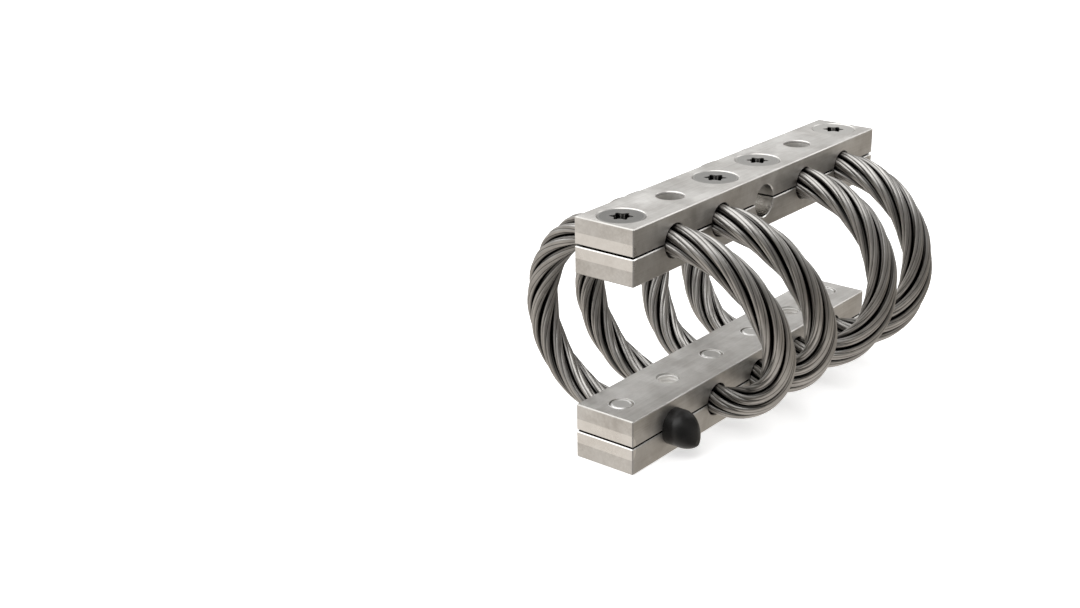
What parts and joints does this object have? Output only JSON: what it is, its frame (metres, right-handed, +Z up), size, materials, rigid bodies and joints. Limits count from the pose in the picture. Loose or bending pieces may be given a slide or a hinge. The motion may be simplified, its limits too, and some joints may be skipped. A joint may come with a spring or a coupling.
{
  "type": "wire rope isolator",
  "caption": "Helical wire rope isolator: a looped steel rope clamped between split aluminium bars springs the upper bar against shock and vibration.",
  "frame": {"origin": "middle of the lower bar's underside", "axes": "+Z up from the lower bar to the upper bar, +X along the bars, +Y across them to the side where the rope ends"},
  "size_m": [0.11, 0.0724, 0.0615],
  "materials": {
    "plate": "satin, fine rolled grain",
    "screw": "dull zinc",
    "rope": "stainless wire",
    "cap": "matte"
  },
  "bodies": {
    "lower_bar": {"lower_outer_plate": "plate", "lower_inner_plate": "plate", "lower_screw_1": "screw", "lower_screw_2": "screw", "lower_screw_3": "screw", "lower_screw_4": "screw", "wire_rope": "rope", "start_cap": "cap", "finish_cap": "cap"},
    "upper_bar": {"upper_outer_plate": "plate", "upper_inner_plate": "plate", "upper_screw_1": "screw", "upper_screw_2": "screw", "upper_screw_3": "screw", "upper_screw_4": "screw"}
  },
  "joints": [
    {"name": "rope_flex", "type": "slide", "parent": "lower_bar", "child": "upper_bar", "axis": [0, 0, 1], "range_m": [-0.02, 0.008], "stiffness_N_per_m": 30000, "deforming": ["wire_rope"]}
  ]
}
